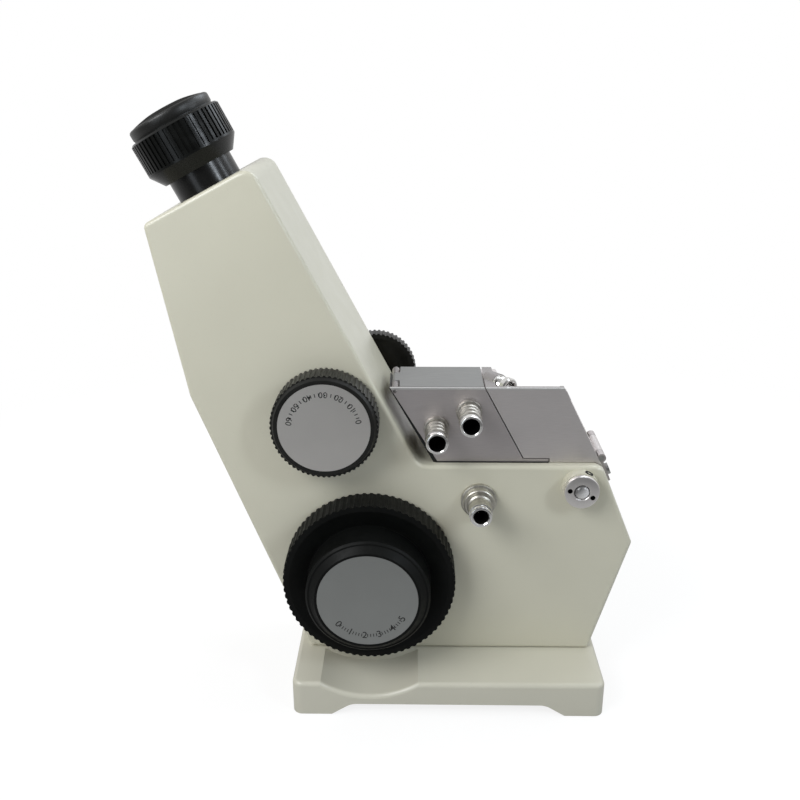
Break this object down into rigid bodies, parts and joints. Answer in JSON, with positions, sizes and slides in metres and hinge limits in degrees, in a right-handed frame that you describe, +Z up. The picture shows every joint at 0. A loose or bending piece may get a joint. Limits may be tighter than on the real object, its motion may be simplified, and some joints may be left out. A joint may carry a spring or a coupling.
{
  "type": "refractometer",
  "caption": "Bench refractometer with a tilted eyepiece, two side handwheels, hinged prism seats and a cast housing on a foot plate.",
  "frame": {"origin": "middle of the foot plate's underside", "axes": "+Z up, +X towards the prism seats, -Y towards the side with the two large handwheels"},
  "size_m": [0.1961, 0.101, 0.241],
  "materials": {
    "painted_body": "semi-gloss",
    "painted_base": "semi-gloss",
    "black_plastic": "satin",
    "black_rubber": "matte",
    "knob_disc": "satin",
    "satin_seat": "bead-blasted",
    "chrome_fitting": "polished",
    "silver_metal": "satin",
    "steel": "machined",
    "brass": "machined",
    "black_metal": "matte",
    "optical_glass": "polished",
    "mirror_coat": "polished"
  },
  "bodies": {
    "housing": {"base_casting": "painted_base", "base_screws": "steel", "housing_casting": "painted_body", "side_cover": "painted_body", "cover_screws": "steel", "wheel_bush": "brass", "dispersion_bush": "brass", "dial_bush": "brass", "eyepiece_tube": "black_metal", "telescope_tube": "black_metal", "objective_cell": "black_metal", "objective_lens": "optical_glass", "reticle": "optical_glass", "compensator_frame": "silver_metal", "mirror_shaft": "steel", "prism_seat": "satin_seat", "seat_screws": "steel", "refracting_prism": "optical_glass", "seat_nipples": "chrome_fitting", "window_glass": "optical_glass", "flap_pin": "steel", "lock_stud": "steel", "hinge_bracket": "silver_metal", "hinge_screws": "steel", "hinge_pin": "steel", "thermometer_seat": "chrome_fitting"},
    "ocular": {"eyepiece_barrel": "black_metal", "field_lens": "optical_glass", "eye_lens": "optical_glass"},
    "focus": {"focus_ring": "black_plastic", "eye_cap": "black_rubber"},
    "adjust_drive": {"adjust_shaft": "steel", "adjust_wheel": "black_plastic", "adjust_disc": "knob_disc"},
    "sector_arm": {"sector": "brass", "swing_mirror": "mirror_coat", "scale_glass": "optical_glass"},
    "dispersion_drive": {"dispersion_shaft": "steel", "dispersion_knob": "black_plastic", "dispersion_disc": "knob_disc"},
    "amici_upper": {"amici_mount_upper": "brass", "amici_prism_upper": "optical_glass"},
    "amici_lower": {"amici_mount_lower": "brass", "amici_prism_lower": "optical_glass"},
    "dial_drive": {"dial_drive_shaft": "steel"},
    "dial": {"dial_shaft": "steel", "dial_knob": "black_plastic"},
    "lid_body": {"lid": "satin_seat", "lid_prism": "optical_glass", "lid_nipples": "chrome_fitting"},
    "lock": {"lock_wheel": "black_plastic"},
    "flap": {"mirror_flap": "satin_seat", "flap_mirror": "mirror_coat"},
    "condenser": {"condenser_mount": "silver_metal", "condenser_lens": "optical_glass"},
    "calibration": {"calibration_screw": "silver_metal"}
  },
  "joints": [
    {"name": "ocular_travel", "type": "slide", "parent": "housing", "child": "ocular", "axis": [-0.4617, 0, 0.887], "range_m": [-0.0025, 0.0025]},
    {"name": "focus_turn", "type": "hinge", "parent": "ocular", "child": "focus", "pos_m": [-0.10159, 0, 0.22278], "axis": [-0.4617, 0, 0.887], "range_deg": [-150, 150]},
    {"name": "wheel_turn", "type": "hinge", "parent": "housing", "child": "adjust_drive", "pos_m": [-0.0321, 0, 0.0541], "axis": [0, 1, 0], "range_deg": [-105, 105]},
    {"name": "sector_swing", "type": "hinge", "parent": "housing", "child": "sector_arm", "pos_m": [-0.00629, 0, 0.0397], "axis": [0, 1, 0], "range_deg": [-15, 15]},
    {"name": "dispersion_turn", "type": "hinge", "parent": "housing", "child": "dispersion_drive", "pos_m": [-0.0484, 0, 0.1206], "axis": [0, 1, 0], "continuous": true},
    {"name": "amici_upper_turn", "type": "hinge", "parent": "housing", "child": "amici_upper", "pos_m": [-0.0484, 0, 0.1206], "axis": [-0.4617, 0, 0.887], "continuous": true},
    {"name": "amici_lower_turn", "type": "hinge", "parent": "housing", "child": "amici_lower", "pos_m": [-0.0484, 0, 0.1206], "axis": [-0.4617, 0, 0.887], "continuous": true},
    {"name": "dial_drive_turn", "type": "hinge", "parent": "housing", "child": "dial_drive", "pos_m": [-0.0484, 0, 0.1206], "axis": [0, 1, 0], "continuous": true},
    {"name": "dial_turn", "type": "hinge", "parent": "housing", "child": "dial", "pos_m": [-0.0314, 0, 0.1206], "axis": [0, 1, 0], "continuous": true},
    {"name": "lid_hinge", "type": "hinge", "parent": "housing", "child": "lid_body", "pos_m": [0.06239, 0, 0.0984], "axis": [0, 1, 0], "range_deg": [0, 118]},
    {"name": "lock_turn", "type": "hinge", "parent": "housing", "child": "lock", "pos_m": [0.01599, 0.027, 0.112], "axis": [0, 1, 0], "range_deg": [0, 180]},
    {"name": "flap_hinge", "type": "hinge", "parent": "housing", "child": "flap", "pos_m": [-0.02181, -0.007, 0.13], "axis": [0, -1, 0], "range_deg": [0, 100]},
    {"name": "condenser_turn", "type": "hinge", "parent": "housing", "child": "condenser", "pos_m": [0.05189, -0.03, 0.0917], "axis": [0, 1, 0], "range_deg": [-30, 30]},
    {"name": "calibration_turn", "type": "hinge", "parent": "housing", "child": "calibration", "pos_m": [-0.10667, 0, 0.158], "axis": [-0.9841, 0, -0.1775], "range_deg": [-180, 180]}
  ],
  "couplings": [
    {"joint": "ocular_travel", "follows": "focus_turn", "m_per_rad": 0.00095493},
    {"joint": "sector_swing", "follows": "wheel_turn", "ratio": -0.14286},
    {"joint": "amici_upper_turn", "follows": "dispersion_turn", "ratio": 0.42857},
    {"joint": "amici_lower_turn", "follows": "dispersion_turn", "ratio": -0.42857},
    {"joint": "dial_drive_turn", "follows": "dispersion_turn", "ratio": -1},
    {"joint": "dial_turn", "follows": "dispersion_turn", "ratio": 3}
  ]
}
